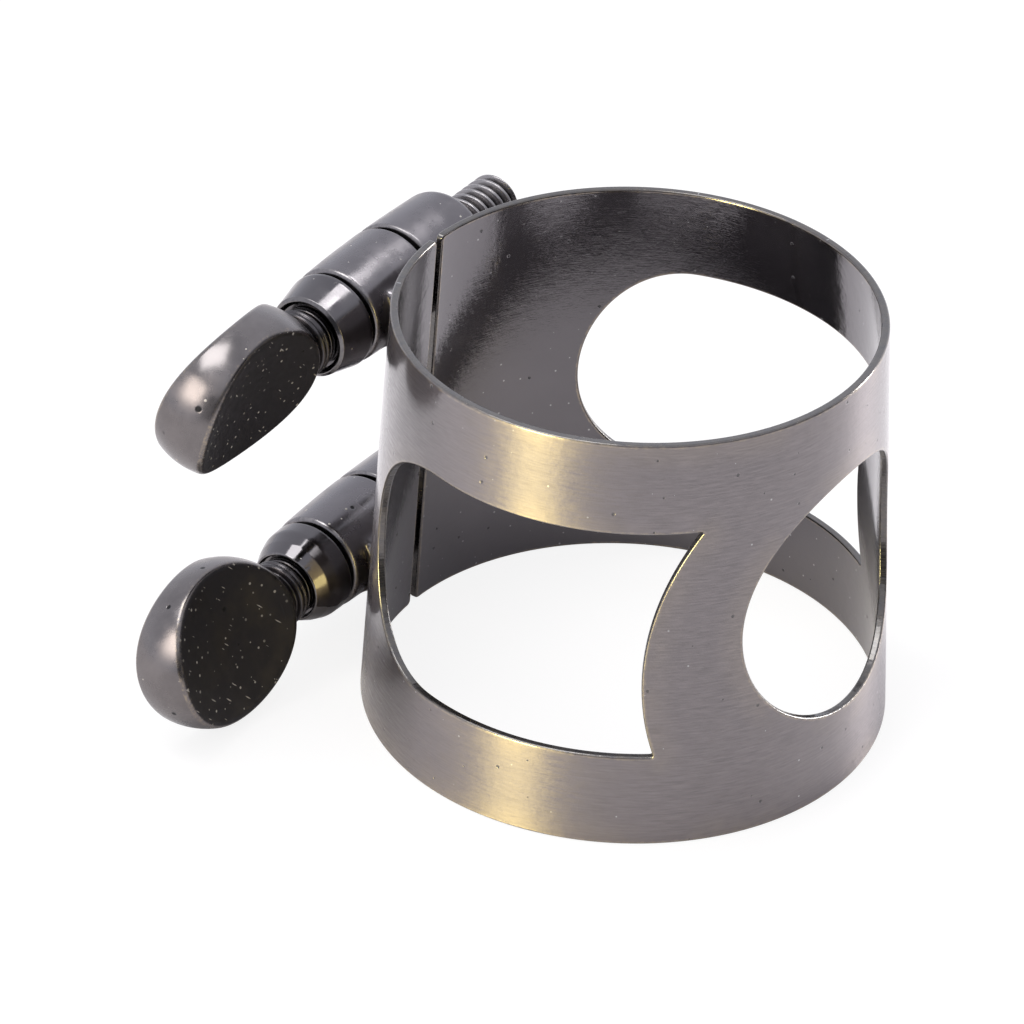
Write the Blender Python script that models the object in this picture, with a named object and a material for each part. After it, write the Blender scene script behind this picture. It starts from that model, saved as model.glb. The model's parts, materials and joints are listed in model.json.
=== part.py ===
"""Saxophone ligature: a slit conical band closed by two thumb screws.

Frame: +Z up the band's axis, from the wide rim to the narrow rim. The origin is on that axis, in the
plane of the wide rim. The slit is at +Y. The screws run along X, with their thumb heads towards -X.
"""
import math

import bmesh
import bpy
from mathutils import Vector
from mathutils.geometry import delaunay_2d_cdt

MM = 0.001
MERGE = 1e-8
FULL_TURN = 2 * math.pi

# Band, in mm
BAND_HEIGHT = 24.0
WIDE_RADIUS = 14.36
NARROW_RADIUS = 13.06
SHEET = 0.45
SLIT_WIDTH = 0.5
BAND_COLUMNS = 96

# Windows, in mm on the unrolled band: s along its middle circle from the slit, z up it
MID_Z = BAND_HEIGHT / 2
MID_RADIUS = (WIDE_RADIUS + NARROW_RADIUS) / 2
HALF_ROUND = math.pi * MID_RADIUS
FLANK_LOW = 5.4
FLANK_HIGH = 18.8
FLANK_TIP = 10.7
HOLLOW_RADIUS = 14.45
HOLLOW_CENTRE_Z = 10.0
HOLLOW_PAST_BACK = 1.3
BACK_HALF_WIDTH = 7.8
BACK_HALF_HEIGHT = 7.15
BACK_CENTRE_Z = 12.0
EDGE_STEP = 0.9

# Barrels, in mm; u runs along a screw axis from the slit
BARREL_RADIUS = 2.9
BARREL_END_RADIUS = 2.76
BARREL_EDGE = 0.16
BARREL_WAIST = 2.4
WAIST_DROP = 0.02
SLIT_FACE = 0.17
NEAR_END = 5.35
FAR_END = 5.4
NEAR_LIP = 0.25
FAR_LIP = 0.7
NEAR_BORE = 1.62
FAR_BORE = 1.6
FOOT_END = 4.1
FOOT_HALF = 1.6
FOOT_DEPTH = 4.4
JOINT_GAP = 0.03
CUTTER_MARGIN = 5.0

# Bells, in mm; a skin is (distance past the start, distance inside BELL_RADIUS)
BELL_RADIUS = 2.72
BELL_LEAD_IN = [(0.0, 0.2), (0.14, 0.02)]
DOME_SKIN = [(0.6, 0.01), (1.05, 0.07), (1.55, 0.23)]
DOME_DROP = 0.44
CONE_SKIN = [(0.3, 0.0)]
CONE_DROP = 0.38
BELL_ROUNDING = 0.34
BELL_SMALL_RADIUS = 2.0
BELL_BORE = 1.6
BELL_DISH_RADIUS = 1.84
BELL_DISH_DEPTH = 0.26
BELL_LIP = 0.06

# Thumb screws, in mm
THREAD_RADIUS = 1.55
THREAD_ROOT = 1.2
THREAD_PITCH = 0.65
THREAD_START = 0.3
THREAD_RUNOUT = 0.2
CREST_FLATNESS = 1.4
TIP_END = 10.25
TIP_CHAMFER = 0.3
TIP_DROP = 0.15
SHANK_RADIUS = 1.55
SPIGOT_RADIUS = 1.0
SPIGOT_LENGTH = 2.4
SOCKET_GAP = 0.04
NECK_INSET = 0.22
NECK_SHOULDER = 1.7
NECK_CHAMFER = 0.05
SHOULDER_LENGTH = 0.3
SHOULDER_STEP = 0.1
NECK_RADIUS = 1.5
BEAD_OFFSETS = (0.53, 0.87)
BEAD_HALF = 0.16
BEAD_RADIUS = 1.86
BEAD_TO_HEAD = 0.08
HEAD_ROOT_RADIUS = 1.85
HEAD_HALF_LENGTH = 5.22
HEAD_HALF_WIDTH = 4.46
SCOOP_RADIUS = 13.0
SCOOP_CENTRE = 0.68
SCOOP_REACH = 8.0
WEB_HALF = 1.05

# Each clamp, in mm and degrees: its screw axis, how far its barrels sit off the slit towards the head,
# where its bell starts and ends, and where its thumb head is and how it is turned
CLAMPS = {
    "upper": {
        "height": 20.65, "from_band": 2.42, "barrel_shift": 0.0, "bell": (5.64, 7.95),
        "domed": False, "head_centre": 14.3, "turn": 16.0,
    },
    "lower": {
        "height": 4.52, "from_band": 2.58, "barrel_shift": 0.2, "bell": (5.88, 8.38),
        "domed": True, "head_centre": 14.85, "turn": -17.0,
    },
}

BARREL_SEGMENTS = 32
BELL_SEGMENTS = 32
HEAD_SEGMENTS = 32
SCOOP_SEGMENTS = 96
ROD_SEGMENTS = 16
ROWS_PER_PITCH = 4


# ---------------------------------------------------------------- helpers

def clear_scene():
    for old in list(bpy.data.objects):
        bpy.data.objects.remove(old, do_unlink=True)


def metal(name, colour, roughness):
    material = bpy.data.materials.new(name)
    material.use_nodes = True
    shader = material.node_tree.nodes["Principled BSDF"]
    shader.inputs["Base Color"].default_value = (*colour, 1.0)
    shader.inputs["Roughness"].default_value = roughness
    shader.inputs["Metallic"].default_value = 1.0
    return material


def add_object(name, mesh_builder, material=None, location=(0, 0, 0), turn=0.0):
    """Link one object whose bmesh is in mm about its own origin."""
    bmesh.ops.scale(mesh_builder, vec=(MM, MM, MM), verts=mesh_builder.verts)
    bmesh.ops.recalc_face_normals(mesh_builder, faces=mesh_builder.faces)
    mesh = bpy.data.meshes.new(name)
    mesh_builder.to_mesh(mesh)
    mesh_builder.free()
    mesh.shade_smooth()
    mesh.set_sharp_from_angle(angle=math.radians(35))
    if material:
        mesh.materials.append(material)
    thing = bpy.data.objects.new(name, mesh)
    thing.location = [value * MM for value in location]
    thing.rotation_euler = (turn, 0, 0)
    bpy.context.collection.objects.link(thing)
    return thing


def hide_cutter(thing):
    thing.hide_render = True
    thing.display_type = "WIRE"
    return thing


def boolean(thing, tool, operation):
    step = thing.modifiers.new(operation.lower(), "BOOLEAN")
    step.operation = operation
    step.solver = "EXACT"
    step.object = tool


def turned(profile, segments, closed):
    """Spin (u, radius) points about the screw axis; u grows towards -X."""
    shape = bmesh.new()
    points = [shape.verts.new((-u, radius, 0)) for u, radius in profile]
    edges = [shape.edges.new(pair) for pair in zip(points, points[1:])]
    if closed:
        edges.append(shape.edges.new((points[-1], points[0])))
    bmesh.ops.spin(
        shape, geom=points + edges, cent=(0, 0, 0), axis=(1, 0, 0),
        angle=FULL_TURN, steps=segments, use_merge=True,
    )
    bmesh.ops.remove_doubles(shape, verts=shape.verts, dist=1e-5)
    return shape


def arc(centre_u, centre_r, radius_u, radius_r, start, end, steps):
    """Points of an elliptical arc in the (u, radius) plane, angles in degrees."""
    turns = [math.radians(start + (end - start) * i / steps) for i in range(steps + 1)]
    return [(centre_u + radius_u * math.cos(a), centre_r + radius_r * math.sin(a)) for a in turns]


# ---------------------------------------------------------------- band

def band_radius(z):
    return WIDE_RADIUS + (NARROW_RADIUS - WIDE_RADIUS) * z / BAND_HEIGHT


def flank_window():
    """Outline on the unrolled band: a half-round end, two straight edges and a hollow arc."""
    radius = (FLANK_HIGH - FLANK_LOW) / 2
    round_end = arc(FLANK_TIP + radius, FLANK_LOW + radius, radius, radius, 90, 270, 20)
    centre = HALF_ROUND + HOLLOW_PAST_BACK
    low = math.degrees(math.asin((HOLLOW_CENTRE_Z - FLANK_LOW) / HOLLOW_RADIUS))
    high = math.degrees(math.asin((FLANK_HIGH - HOLLOW_CENTRE_Z) / HOLLOW_RADIUS))
    hollow = arc(centre, HOLLOW_CENTRE_Z, HOLLOW_RADIUS, HOLLOW_RADIUS, 180 + low, 180 - high, 14)
    return round_end + hollow


def back_window():
    ring = arc(HALF_ROUND, BACK_CENTRE_Z, BACK_HALF_WIDTH, BACK_HALF_HEIGHT, 0, 360, 40)
    return ring[:-1]


def subdivided(outline):
    """The closed outline, with long straight edges split so that they can follow the band."""
    points = []
    for start, end in zip(outline, outline[1:] + outline[:1]):
        count = max(1, math.ceil(math.dist(start, end) / EDGE_STEP - 1e-6))
        for i in range(count):
            points.append(tuple(a + (b - a) * i / count for a, b in zip(start, end)))
    return points


def rolled(s, z, inset):
    """The place on the cone of a point of the unrolled sheet; s = 0 is the slit, at +Y."""
    angle = math.pi / 2 + s / MID_RADIUS
    radius = band_radius(z) - inset
    return Vector((radius * math.cos(angle), radius * math.sin(angle), z))


def band_sheet():
    """The flat blank as triangles between straight rulings, with its windows left open."""
    first = SLIT_WIDTH / 2
    last = 2 * HALF_ROUND - SLIT_WIDTH / 2
    stations = [first + (last - first) * i / BAND_COLUMNS for i in range(BAND_COLUMNS + 1)]
    rim = [(s, 0.0) for s in stations] + [(s, BAND_HEIGHT) for s in reversed(stations)]
    flank = flank_window()
    mirrored = [(2 * HALF_ROUND - s, z) for s, z in reversed(flank)]
    loops = [rim] + [subdivided(loop) for loop in (flank, mirrored, back_window())]
    points = []
    faces = []
    for loop in loops:
        faces.append(list(range(len(points), len(points) + len(loop))))
        points.extend(loop)
    count = BAND_COLUMNS + 1
    rulings = [(i, 2 * count - 1 - i) for i in range(1, BAND_COLUMNS)]
    inside_only = 1
    flat = delaunay_2d_cdt([Vector(p) for p in points], rulings, faces, inside_only, 1e-6)
    kept = [corners for corners, within in zip(flat[2], flat[5]) if list(within) == [0]]
    return flat[0], kept


def make_band(material):
    points, triangles = band_sheet()
    shape = bmesh.new()
    outer = [shape.verts.new(rolled(p.x, p.y, 0.0)) for p in points]
    inner = [shape.verts.new(rolled(p.x, p.y, SHEET)) for p in points]
    for corners in triangles:
        shape.faces.new([outer[i] for i in corners])
        shape.faces.new([inner[i] for i in reversed(corners)])
    used = {}
    for corners in triangles:
        for a, b in zip(corners, list(corners[1:]) + [corners[0]]):
            used[(a, b)] = True
    for a, b in used:
        if (b, a) not in used:
            shape.faces.new((outer[b], outer[a], inner[a], inner[b]))
    loose = [vert for vert in shape.verts if not vert.link_faces]
    bmesh.ops.delete(shape, geom=loose, context="VERTS")
    return add_object("band", shape, material)


# ---------------------------------------------------------------- barrels

def band_cutter():
    """The band's outer cone, a joint gap larger, that the barrels' feet are coped to."""
    shape = bmesh.new()
    rows = []
    for z in (-CUTTER_MARGIN, BAND_HEIGHT + CUTTER_MARGIN):
        row = []
        for i in range(BAND_COLUMNS):
            angle = FULL_TURN * i / BAND_COLUMNS
            radius = band_radius(z) + JOINT_GAP
            row.append(shape.verts.new((radius * math.cos(angle), radius * math.sin(angle), z)))
        rows.append(row)
    for i in range(BAND_COLUMNS):
        j = (i + 1) % BAND_COLUMNS
        shape.faces.new((rows[0][i], rows[0][j], rows[1][j], rows[1][i]))
    shape.faces.new(rows[0])
    shape.faces.new(rows[1])
    return hide_cutter(add_object("band_cutter", shape))


def shifted(profile, shift):
    return [(u + shift, radius) for u, radius in profile]


def near_profile():
    slit_face = [(SLIT_FACE, NEAR_BORE), (SLIT_FACE, BARREL_RADIUS - BARREL_EDGE)]
    swell = [(SLIT_FACE + BARREL_EDGE, BARREL_RADIUS), (BARREL_WAIST, BARREL_RADIUS - WAIST_DROP)]
    lip = arc(NEAR_END - NEAR_LIP, BARREL_END_RADIUS - NEAR_LIP, NEAR_LIP, NEAR_LIP, 90, 0, 3)
    return slit_face + swell + lip + [(NEAR_END, NEAR_BORE)]


def far_profile():
    slit_face = [(-SLIT_FACE, FAR_BORE), (-SLIT_FACE, BARREL_RADIUS - BARREL_EDGE)]
    swell = [(-SLIT_FACE - BARREL_EDGE, BARREL_RADIUS), (-BARREL_WAIST, BARREL_RADIUS - WAIST_DROP)]
    lip = arc(FAR_LIP - FAR_END, BARREL_END_RADIUS - FAR_LIP, FAR_LIP, FAR_LIP, 90, 180, 5)
    return slit_face + swell + lip + [(-FAR_END, FAR_BORE)]


def foot(start, end):
    """The block between a barrel and the band."""
    shape = bmesh.new()
    bmesh.ops.create_cube(shape, size=1.0)
    size = (end - start, FOOT_DEPTH, 2 * FOOT_HALF)
    bmesh.ops.scale(shape, vec=size, verts=shape.verts)
    bmesh.ops.translate(shape, vec=(-(start + end) / 2, -FOOT_DEPTH / 2, 0), verts=shape.verts)
    return shape


def make_barrel(name, profile, bore, foot_range, place, material, band_tool):
    barrel = add_object(name, turned(profile, BARREL_SEGMENTS, True), material, place)
    block = hide_cutter(add_object(name + "_foot", foot(*foot_range), None, place))
    start = foot_range[0] - 1
    end = foot_range[1] + 1
    drill_shape = turned([(start, 0), (start, bore), (end, bore), (end, 0)], BARREL_SEGMENTS, False)
    drill = hide_cutter(add_object(name + "_drill", drill_shape, None, place))
    boolean(block, drill, "DIFFERENCE")
    boolean(barrel, block, "UNION")
    boolean(barrel, band_tool, "DIFFERENCE")
    return barrel


# ---------------------------------------------------------------- bells

def bell_profile(start, end, domed):
    """A cone, or a dome, that narrows to a rounded small end with a dished face."""
    shape, drop = (DOME_SKIN, DOME_DROP) if domed else (CONE_SKIN, CONE_DROP)
    round_start = end - BELL_ROUNDING
    edge = BELL_RADIUS - drop
    skin = [(start + along, BELL_RADIUS - inside) for along, inside in BELL_LEAD_IN + shape]
    skin += arc(round_start, BELL_SMALL_RADIUS, BELL_ROUNDING, edge - BELL_SMALL_RADIUS, 90, 0, 4)
    floor = end - BELL_DISH_DEPTH
    dish = [(end - BELL_LIP, BELL_DISH_RADIUS + BELL_LIP)]
    dish += [(floor, BELL_DISH_RADIUS), (floor, BELL_BORE)]
    return skin + dish + [(start, BELL_BORE)]


# ---------------------------------------------------------------- thumb screws

def head_profile(bell_end, centre):
    """Neck with two beads, then the ellipsoid; drilled for the rod's spigot."""
    neck = bell_end - NECK_INSET
    socket = SPIGOT_RADIUS + SOCKET_GAP
    bottom = neck + SPIGOT_LENGTH + SOCKET_GAP
    profile = [(bottom, 0), (bottom, socket), (neck, socket)]
    step = neck + SHOULDER_LENGTH
    profile += [(neck, NECK_SHOULDER - NECK_CHAMFER), (neck + NECK_CHAMFER, NECK_SHOULDER)]
    profile += [(step, NECK_SHOULDER), (step + SHOULDER_STEP, NECK_RADIUS)]
    for offset in BEAD_OFFSETS:
        rise = BEAD_RADIUS - NECK_RADIUS
        profile += arc(bell_end + offset, NECK_RADIUS, BEAD_HALF, rise, 180, 0, 4)
    flare = bell_end + BEAD_OFFSETS[1] + BEAD_HALF + BEAD_TO_HEAD
    profile += [(flare, NECK_RADIUS)]
    start = math.degrees(math.asin(HEAD_ROOT_RADIUS / HEAD_HALF_WIDTH))
    body = arc(centre, 0, HEAD_HALF_LENGTH, HEAD_HALF_WIDTH, 180 - start, 0, 16)
    return profile + body[:-1] + [(centre + HEAD_HALF_LENGTH, 0)]


def scoop(side, head_centre):
    """A cylinder across the head, whose side hollows one face of it."""
    shape = bmesh.new()
    bmesh.ops.create_cone(
        shape, cap_ends=True, segments=SCOOP_SEGMENTS, radius1=SCOOP_RADIUS, radius2=SCOOP_RADIUS,
        depth=2 * SCOOP_REACH,
    )
    centre = (-(head_centre + SCOOP_CENTRE), side * (WEB_HALF + SCOOP_RADIUS), 0)
    bmesh.ops.translate(shape, vec=centre, verts=shape.verts)
    return shape


def make_head(name, place, clamp, material):
    turn = math.radians(clamp["turn"])
    shape = turned(head_profile(clamp["bell"][1], clamp["head_centre"]), HEAD_SEGMENTS, False)
    head = add_object(name, shape, material, place, turn)
    for side, label in ((1, "_scoop_a"), (-1, "_scoop_b")):
        tool_shape = scoop(side, clamp["head_centre"])
        tool = hide_cutter(add_object(name + label, tool_shape, None, place, turn))
        boolean(head, tool, "DIFFERENCE")
    return head


def thread_radius(x, angle):
    """Radius of the right-handed thread at x along the rod and angle about it."""
    phase = x / THREAD_PITCH - angle / FULL_TURN
    middle = (THREAD_RADIUS + THREAD_ROOT) / 2
    swing = (THREAD_RADIUS - THREAD_ROOT) / 2
    wave = max(-1.0, min(1.0, CREST_FLATNESS * math.cos(FULL_TURN * phase)))
    tip = THREAD_ROOT - TIP_DROP
    chamfer = tip + (TIP_END - x) * (THREAD_RADIUS - tip) / TIP_CHAMFER
    return min(middle + swing * wave, chamfer)


def make_rod(name, place, bell_end, material):
    """A spigot for the head, a plain shank and the threaded end, as rings along +X."""
    shoulder = NECK_INSET + JOINT_GAP - bell_end
    plain = [(shoulder - JOINT_GAP - SPIGOT_LENGTH, SPIGOT_RADIUS), (shoulder, SPIGOT_RADIUS)]
    plain += [(shoulder, SHANK_RADIUS), (THREAD_START - THREAD_RUNOUT, SHANK_RADIUS)]
    plain += [(THREAD_START, THREAD_ROOT)]
    rows = round((TIP_END - THREAD_START) / THREAD_PITCH * ROWS_PER_PITCH)
    shape = bmesh.new()
    rings = []
    for x, radius in plain:
        rings.append([(x, radius)] * ROD_SEGMENTS)
    turns = [FULL_TURN * j / ROD_SEGMENTS for j in range(ROD_SEGMENTS)]
    for i in range(1, rows + 1):
        x = THREAD_START + (TIP_END - THREAD_START) * i / rows
        rings.append([(x, thread_radius(x, a)) for a in turns])
    grid = []
    for ring in rings:
        spots = [(x, r * math.cos(a), r * math.sin(a)) for (x, r), a in zip(ring, turns)]
        grid.append([shape.verts.new(spot) for spot in spots])
    for low, high in zip(grid, grid[1:]):
        for j in range(ROD_SEGMENTS):
            k = (j + 1) % ROD_SEGMENTS
            shape.faces.new((low[j], high[j], high[k], low[k]))
    shape.faces.new(grid[0])
    shape.faces.new(grid[-1])
    return add_object(name, shape, material, place)


# ---------------------------------------------------------------- assembly

def main():
    clear_scene()
    brushed = metal("brushed_gunmetal", (0.36, 0.32, 0.29), 0.36)
    polished = metal("polished_gunmetal", (0.2, 0.19, 0.19), 0.16)
    dark = metal("dark_gunmetal", (0.15, 0.14, 0.145), 0.18)
    threaded = metal("threaded_rod", (0.3, 0.28, 0.27), 0.3)
    make_band(brushed)
    band_tool = band_cutter()
    for label, clamp in CLAMPS.items():
        height = clamp["height"]
        place = (0, band_radius(height) + clamp["from_band"], height)
        shift = clamp["barrel_shift"]
        near = (shift + SLIT_FACE + BARREL_EDGE, shift + FOOT_END)
        far = (shift - FOOT_END, shift - SLIT_FACE - BARREL_EDGE)
        for side, profile, bore, span in (
            ("near", near_profile(), NEAR_BORE, near), ("far", far_profile(), FAR_BORE, far),
        ):
            make_barrel(
                f"{label}_{side}_barrel", shifted(profile, shift), bore, span, place, polished,
                band_tool,
            )
        bell = turned(bell_profile(*clamp["bell"], clamp["domed"]), BELL_SEGMENTS, True)
        add_object(label + "_bell", bell, polished, place)
        make_head(label + "_thumb_head", place, clamp, dark)
        make_rod(label + "_screw_rod", place, clamp["bell"][1], threaded)


main()
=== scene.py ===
import json
import math
from itertools import product

import bpy
import numpy as np
from mathutils import Matrix, Vector
from mathutils.geometry import delaunay_2d_cdt


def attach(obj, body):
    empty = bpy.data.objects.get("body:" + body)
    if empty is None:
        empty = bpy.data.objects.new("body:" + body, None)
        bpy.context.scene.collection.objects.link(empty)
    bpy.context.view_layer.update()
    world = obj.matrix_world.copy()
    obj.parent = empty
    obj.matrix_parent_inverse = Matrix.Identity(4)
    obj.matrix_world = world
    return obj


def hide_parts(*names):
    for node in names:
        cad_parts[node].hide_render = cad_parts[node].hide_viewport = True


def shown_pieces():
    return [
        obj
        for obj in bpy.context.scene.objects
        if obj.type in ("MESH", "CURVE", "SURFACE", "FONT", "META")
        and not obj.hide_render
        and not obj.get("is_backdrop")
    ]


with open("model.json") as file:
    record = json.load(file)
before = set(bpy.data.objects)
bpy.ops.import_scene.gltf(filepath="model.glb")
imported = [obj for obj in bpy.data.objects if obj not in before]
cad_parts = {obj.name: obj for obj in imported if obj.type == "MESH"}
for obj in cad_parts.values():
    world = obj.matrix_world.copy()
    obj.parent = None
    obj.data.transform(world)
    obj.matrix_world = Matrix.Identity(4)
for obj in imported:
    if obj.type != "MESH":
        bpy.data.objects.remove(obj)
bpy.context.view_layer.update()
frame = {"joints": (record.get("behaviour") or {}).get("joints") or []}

MM = 0.001

# The band, in mm: a rolled sheet, widest at its foot
BAND_HEIGHT = 24.0
WIDE_RADIUS = 14.36
NARROW_RADIUS = 13.06
SHEET = 0.45
SLIT_WIDTH = 0.5
MID_RADIUS = (WIDE_RADIUS + NARROW_RADIUS) / 2
HALF_ROUND = math.pi * MID_RADIUS
TAPER = (WIDE_RADIUS - NARROW_RADIUS) / BAND_HEIGHT
SHEET_FILLET = 0.12
FILLET_STEPS = 5
CORNER_FILLET = 0.3
OUTLINE_STEP = 0.4
COLUMN_STEP = 0.36
ROW_STEP = 0.5
FILLING_MARGIN = 0.27

# Its windows, on the unrolled sheet: s round it from the slit, z up it
FLANK_LOW = 5.4
FLANK_HIGH = 18.8
FLANK_TIP = 10.7
HOLLOW_RADIUS = 14.45
HOLLOW_CENTRE_Z = 10.0
HOLLOW_PAST_BACK = 1.3
BACK_HALF_WIDTH = 7.8
BACK_HALF_HEIGHT = 7.15
BACK_CENTRE_Z = 12.0

# Barrels
BARREL_RADIUS = 2.9
BARREL_END_RADIUS = 2.76
SLIT_FACE = 0.17
NEAR_END = 5.35
FAR_END = 5.4
NEAR_BORE = 1.62
FAR_BORE = 1.6
BORE_FILLET = 0.12
NEAR_FILLETS = (0.2, 0.26)
FAR_FILLETS = (0.7, 0.2)
FOOT_HALF = 1.6
FOOT_REACH = 4.0
FOOT_SETBACK = 0.16
BARREL_CELL = 0.09

# Bells
BELL_RADIUS = 2.72
BELL_SMALL_RADIUS = 2.0
BELL_BORE = 1.6
BELL_DISH_RADIUS = 1.96
BELL_DISH_DEPTH = 0.26
BELL_FILLET_STEPS = 7
BELL_SEGMENTS = 128

# Thumb screws
THREAD_RADIUS = 1.55
THREAD_ROOT = 1.2
THREAD_PITCH = 0.65
THREAD_START = 0.3
THREAD_RUNOUT = 0.2
CREST_FLATNESS = 1.25
ROD_SEGMENTS = 56
ROWS_PER_PITCH = 16
TIP_END = 10.25
TIP_CHAMFER = 0.3
TIP_DROP = 0.05
SHANK_RADIUS = 1.55
SPIGOT_RADIUS = 1.0
SPIGOT_LENGTH = 2.4
SOCKET_GAP = 0.04
JOINT_GAP = 0.03
NECK_INSET = 0.22
NECK_SHOULDER = 1.72
NECK_RADIUS = 1.5
BEAD_OFFSETS = (0.53, 0.87)
BEAD_RADIUS = 1.86
BEAD_ROUND = 0.17
SHOULDER_HALF = 0.19
STEM_INTO_HEAD = 1.0
HEAD_HALF_LENGTH = 5.22
HEAD_HALF_WIDTH = 4.46
SCOOP_RADIUS = 13.0
SCOOP_CENTRE = 0.68
WEB_HALF = 1.05
RIM_BLEND = 0.34
NECK_BLEND = 0.5
NECK_BEADS_LENGTH = 1.2
HEAD_CELL = 0.085

CLAMPS = {
    "upper": {
        "barrel_shift": 0.0, "bell": (5.64, 7.95), "domed": False, "head_centre": 14.3, "turn": 16.0,
    },
    "lower": {
        "barrel_shift": 0.2, "bell": (5.88, 8.38), "domed": True, "head_centre": 14.85, "turn": -17.0,
    },
}
HINGE_PLACES = {joint["name"]: joint.get("pos_m") for joint in frame["joints"]}


def screw_axis(clamp):
    """A point on a clamp's screw axis, in mm, at the slit."""
    return np.array(HINGE_PLACES[clamp + "_screw_turn"]) / MM


# ---------------------------------------------------------------- pieces

def add_piece(node, body, points, faces, normals, values, material):
    """A finer piece, in mm in the row frame, that stands for one CAD node."""
    mesh = bpy.data.meshes.new(node + "_fine")
    mesh.from_pydata((np.asarray(points) * MM).tolist(), [], [list(map(int, face)) for face in faces])
    mesh.shade_smooth()
    for name, numbers in values.items():
        layer = mesh.attributes.new(name, "FLOAT", "POINT")
        layer.data.foreach_set("value", np.asarray(numbers, np.float32))
    lengths = np.linalg.norm(normals, axis=1, keepdims=True)
    mesh.normals_split_custom_set_from_vertices((normals / np.maximum(lengths, 1e-9)).tolist())
    mesh.materials.append(material)
    piece = bpy.data.objects.new(node + "_fine", mesh)
    bpy.context.scene.collection.objects.link(piece)
    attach(piece, body)
    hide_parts(node)
    return piece


def turned_about_x(vectors, degrees):
    angle = math.radians(degrees)
    cosine = math.cos(angle)
    sine = math.sin(angle)
    spin = np.array([[1, 0, 0], [0, cosine, -sine], [0, sine, cosine]])
    return vectors @ spin.T


# ---------------------------------------------------------------- outlines and lathes

def arc(centre_u, centre_r, radius_u, radius_r, start, end, steps):
    turns = np.radians(np.linspace(start, end, steps + 1))
    return [(centre_u + radius_u * math.cos(a), centre_r + radius_r * math.sin(a)) for a in turns]


def filleted(corners, steps=6):
    """A closed outline of (u, r, fillet) with its corners rounded: points and outward normals.

    The outline has its material on the left.
    """
    points = []
    normals = []
    count = len(corners)
    for i in range(count):
        before = np.array(corners[i - 1][:2], float)
        here = np.array(corners[i][:2], float)
        after = np.array(corners[(i + 1) % count][:2], float)
        come = (here - before) / np.linalg.norm(here - before)
        leave = (after - here) / np.linalg.norm(after - here)
        first = np.array([come[1], -come[0]])
        last = np.array([leave[1], -leave[0]])
        turn = math.atan2(come[0] * leave[1] - come[1] * leave[0], float(come @ leave))
        reach = corners[i][2] * abs(math.tan(turn / 2))
        if reach < 1e-4:
            middle = first + last
            points.append(here)
            normals.append(middle / np.linalg.norm(middle))
            continue
        centre = here - come * reach - first * math.copysign(corners[i][2], turn)
        for j in range(steps + 1):
            angle = turn * j / steps
            cosine = math.cos(angle)
            sine = math.sin(angle)
            normal = np.array([first[0] * cosine - first[1] * sine, first[0] * sine + first[1] * cosine])
            points.append(centre + normal * math.copysign(corners[i][2], turn))
            normals.append(normal)
    return np.array(points), np.array(normals)


def fenced(points, normals, wear):
    """The outline with two unworn points just inside each long flat, so that wear stays on the edges."""
    rows = []
    count = len(points)
    for i in range(count):
        j = (i + 1) % count
        rows.append((points[i], normals[i], wear[i]))
        step = points[j] - points[i]
        length = np.linalg.norm(step)
        if length > 0.2:
            for share in (0.05 / length, 1 - 0.05 / length):
                lean = normals[i] * (1 - share) + normals[j] * share
                rows.append((points[i] + step * share, lean, 0.0))
    return [np.array(column) for column in zip(*rows)]


def lathe(points, normals, wear, segments):
    """Spin an outline of (u, radius) about the screw axis; u grows towards -X."""
    angles = np.arange(segments) * 2 * math.pi / segments
    cosines = np.cos(angles)[None, :]
    sines = np.sin(angles)[None, :]
    along = np.repeat(-points[:, :1], segments, axis=1)
    grid = np.stack([along, points[:, 1:] * cosines, points[:, 1:] * sines], axis=-1)
    lean = np.repeat(-normals[:, :1], segments, axis=1)
    facing = np.stack([lean, normals[:, 1:] * cosines, normals[:, 1:] * sines], axis=-1)
    rows = len(points)
    index = np.arange(rows * segments).reshape(rows, segments)
    below = np.roll(index, -1, axis=0)
    quads = np.stack([index, np.roll(index, -1, 1), np.roll(below, -1, 1), below], axis=-1)
    return grid.reshape(-1, 3), quads.reshape(-1, 4), facing.reshape(-1, 3), np.repeat(wear, segments)


# ---------------------------------------------------------------- skins of distance fields

def smooth_max(a, b, reach):
    blend = np.clip(0.5 + 0.5 * (a - b) / reach, 0, 1)
    return a * blend + b * (1 - blend) + reach * blend * (1 - blend)


def smooth_min(a, b, reach):
    return -smooth_max(-a, -b, reach)


def slope(field, points, step):
    """Gradient and Laplacian of a field by central differences."""
    here = field(points)
    gradient = np.zeros_like(points)
    bend = np.zeros(len(points))
    for axis in range(3):
        shift = np.zeros(3)
        shift[axis] = step
        ahead = field(points + shift)
        behind = field(points - shift)
        gradient[:, axis] = (ahead - behind) / (2 * step)
        bend += (ahead + behind - 2 * here) / step ** 2
    return here, gradient, bend


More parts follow.
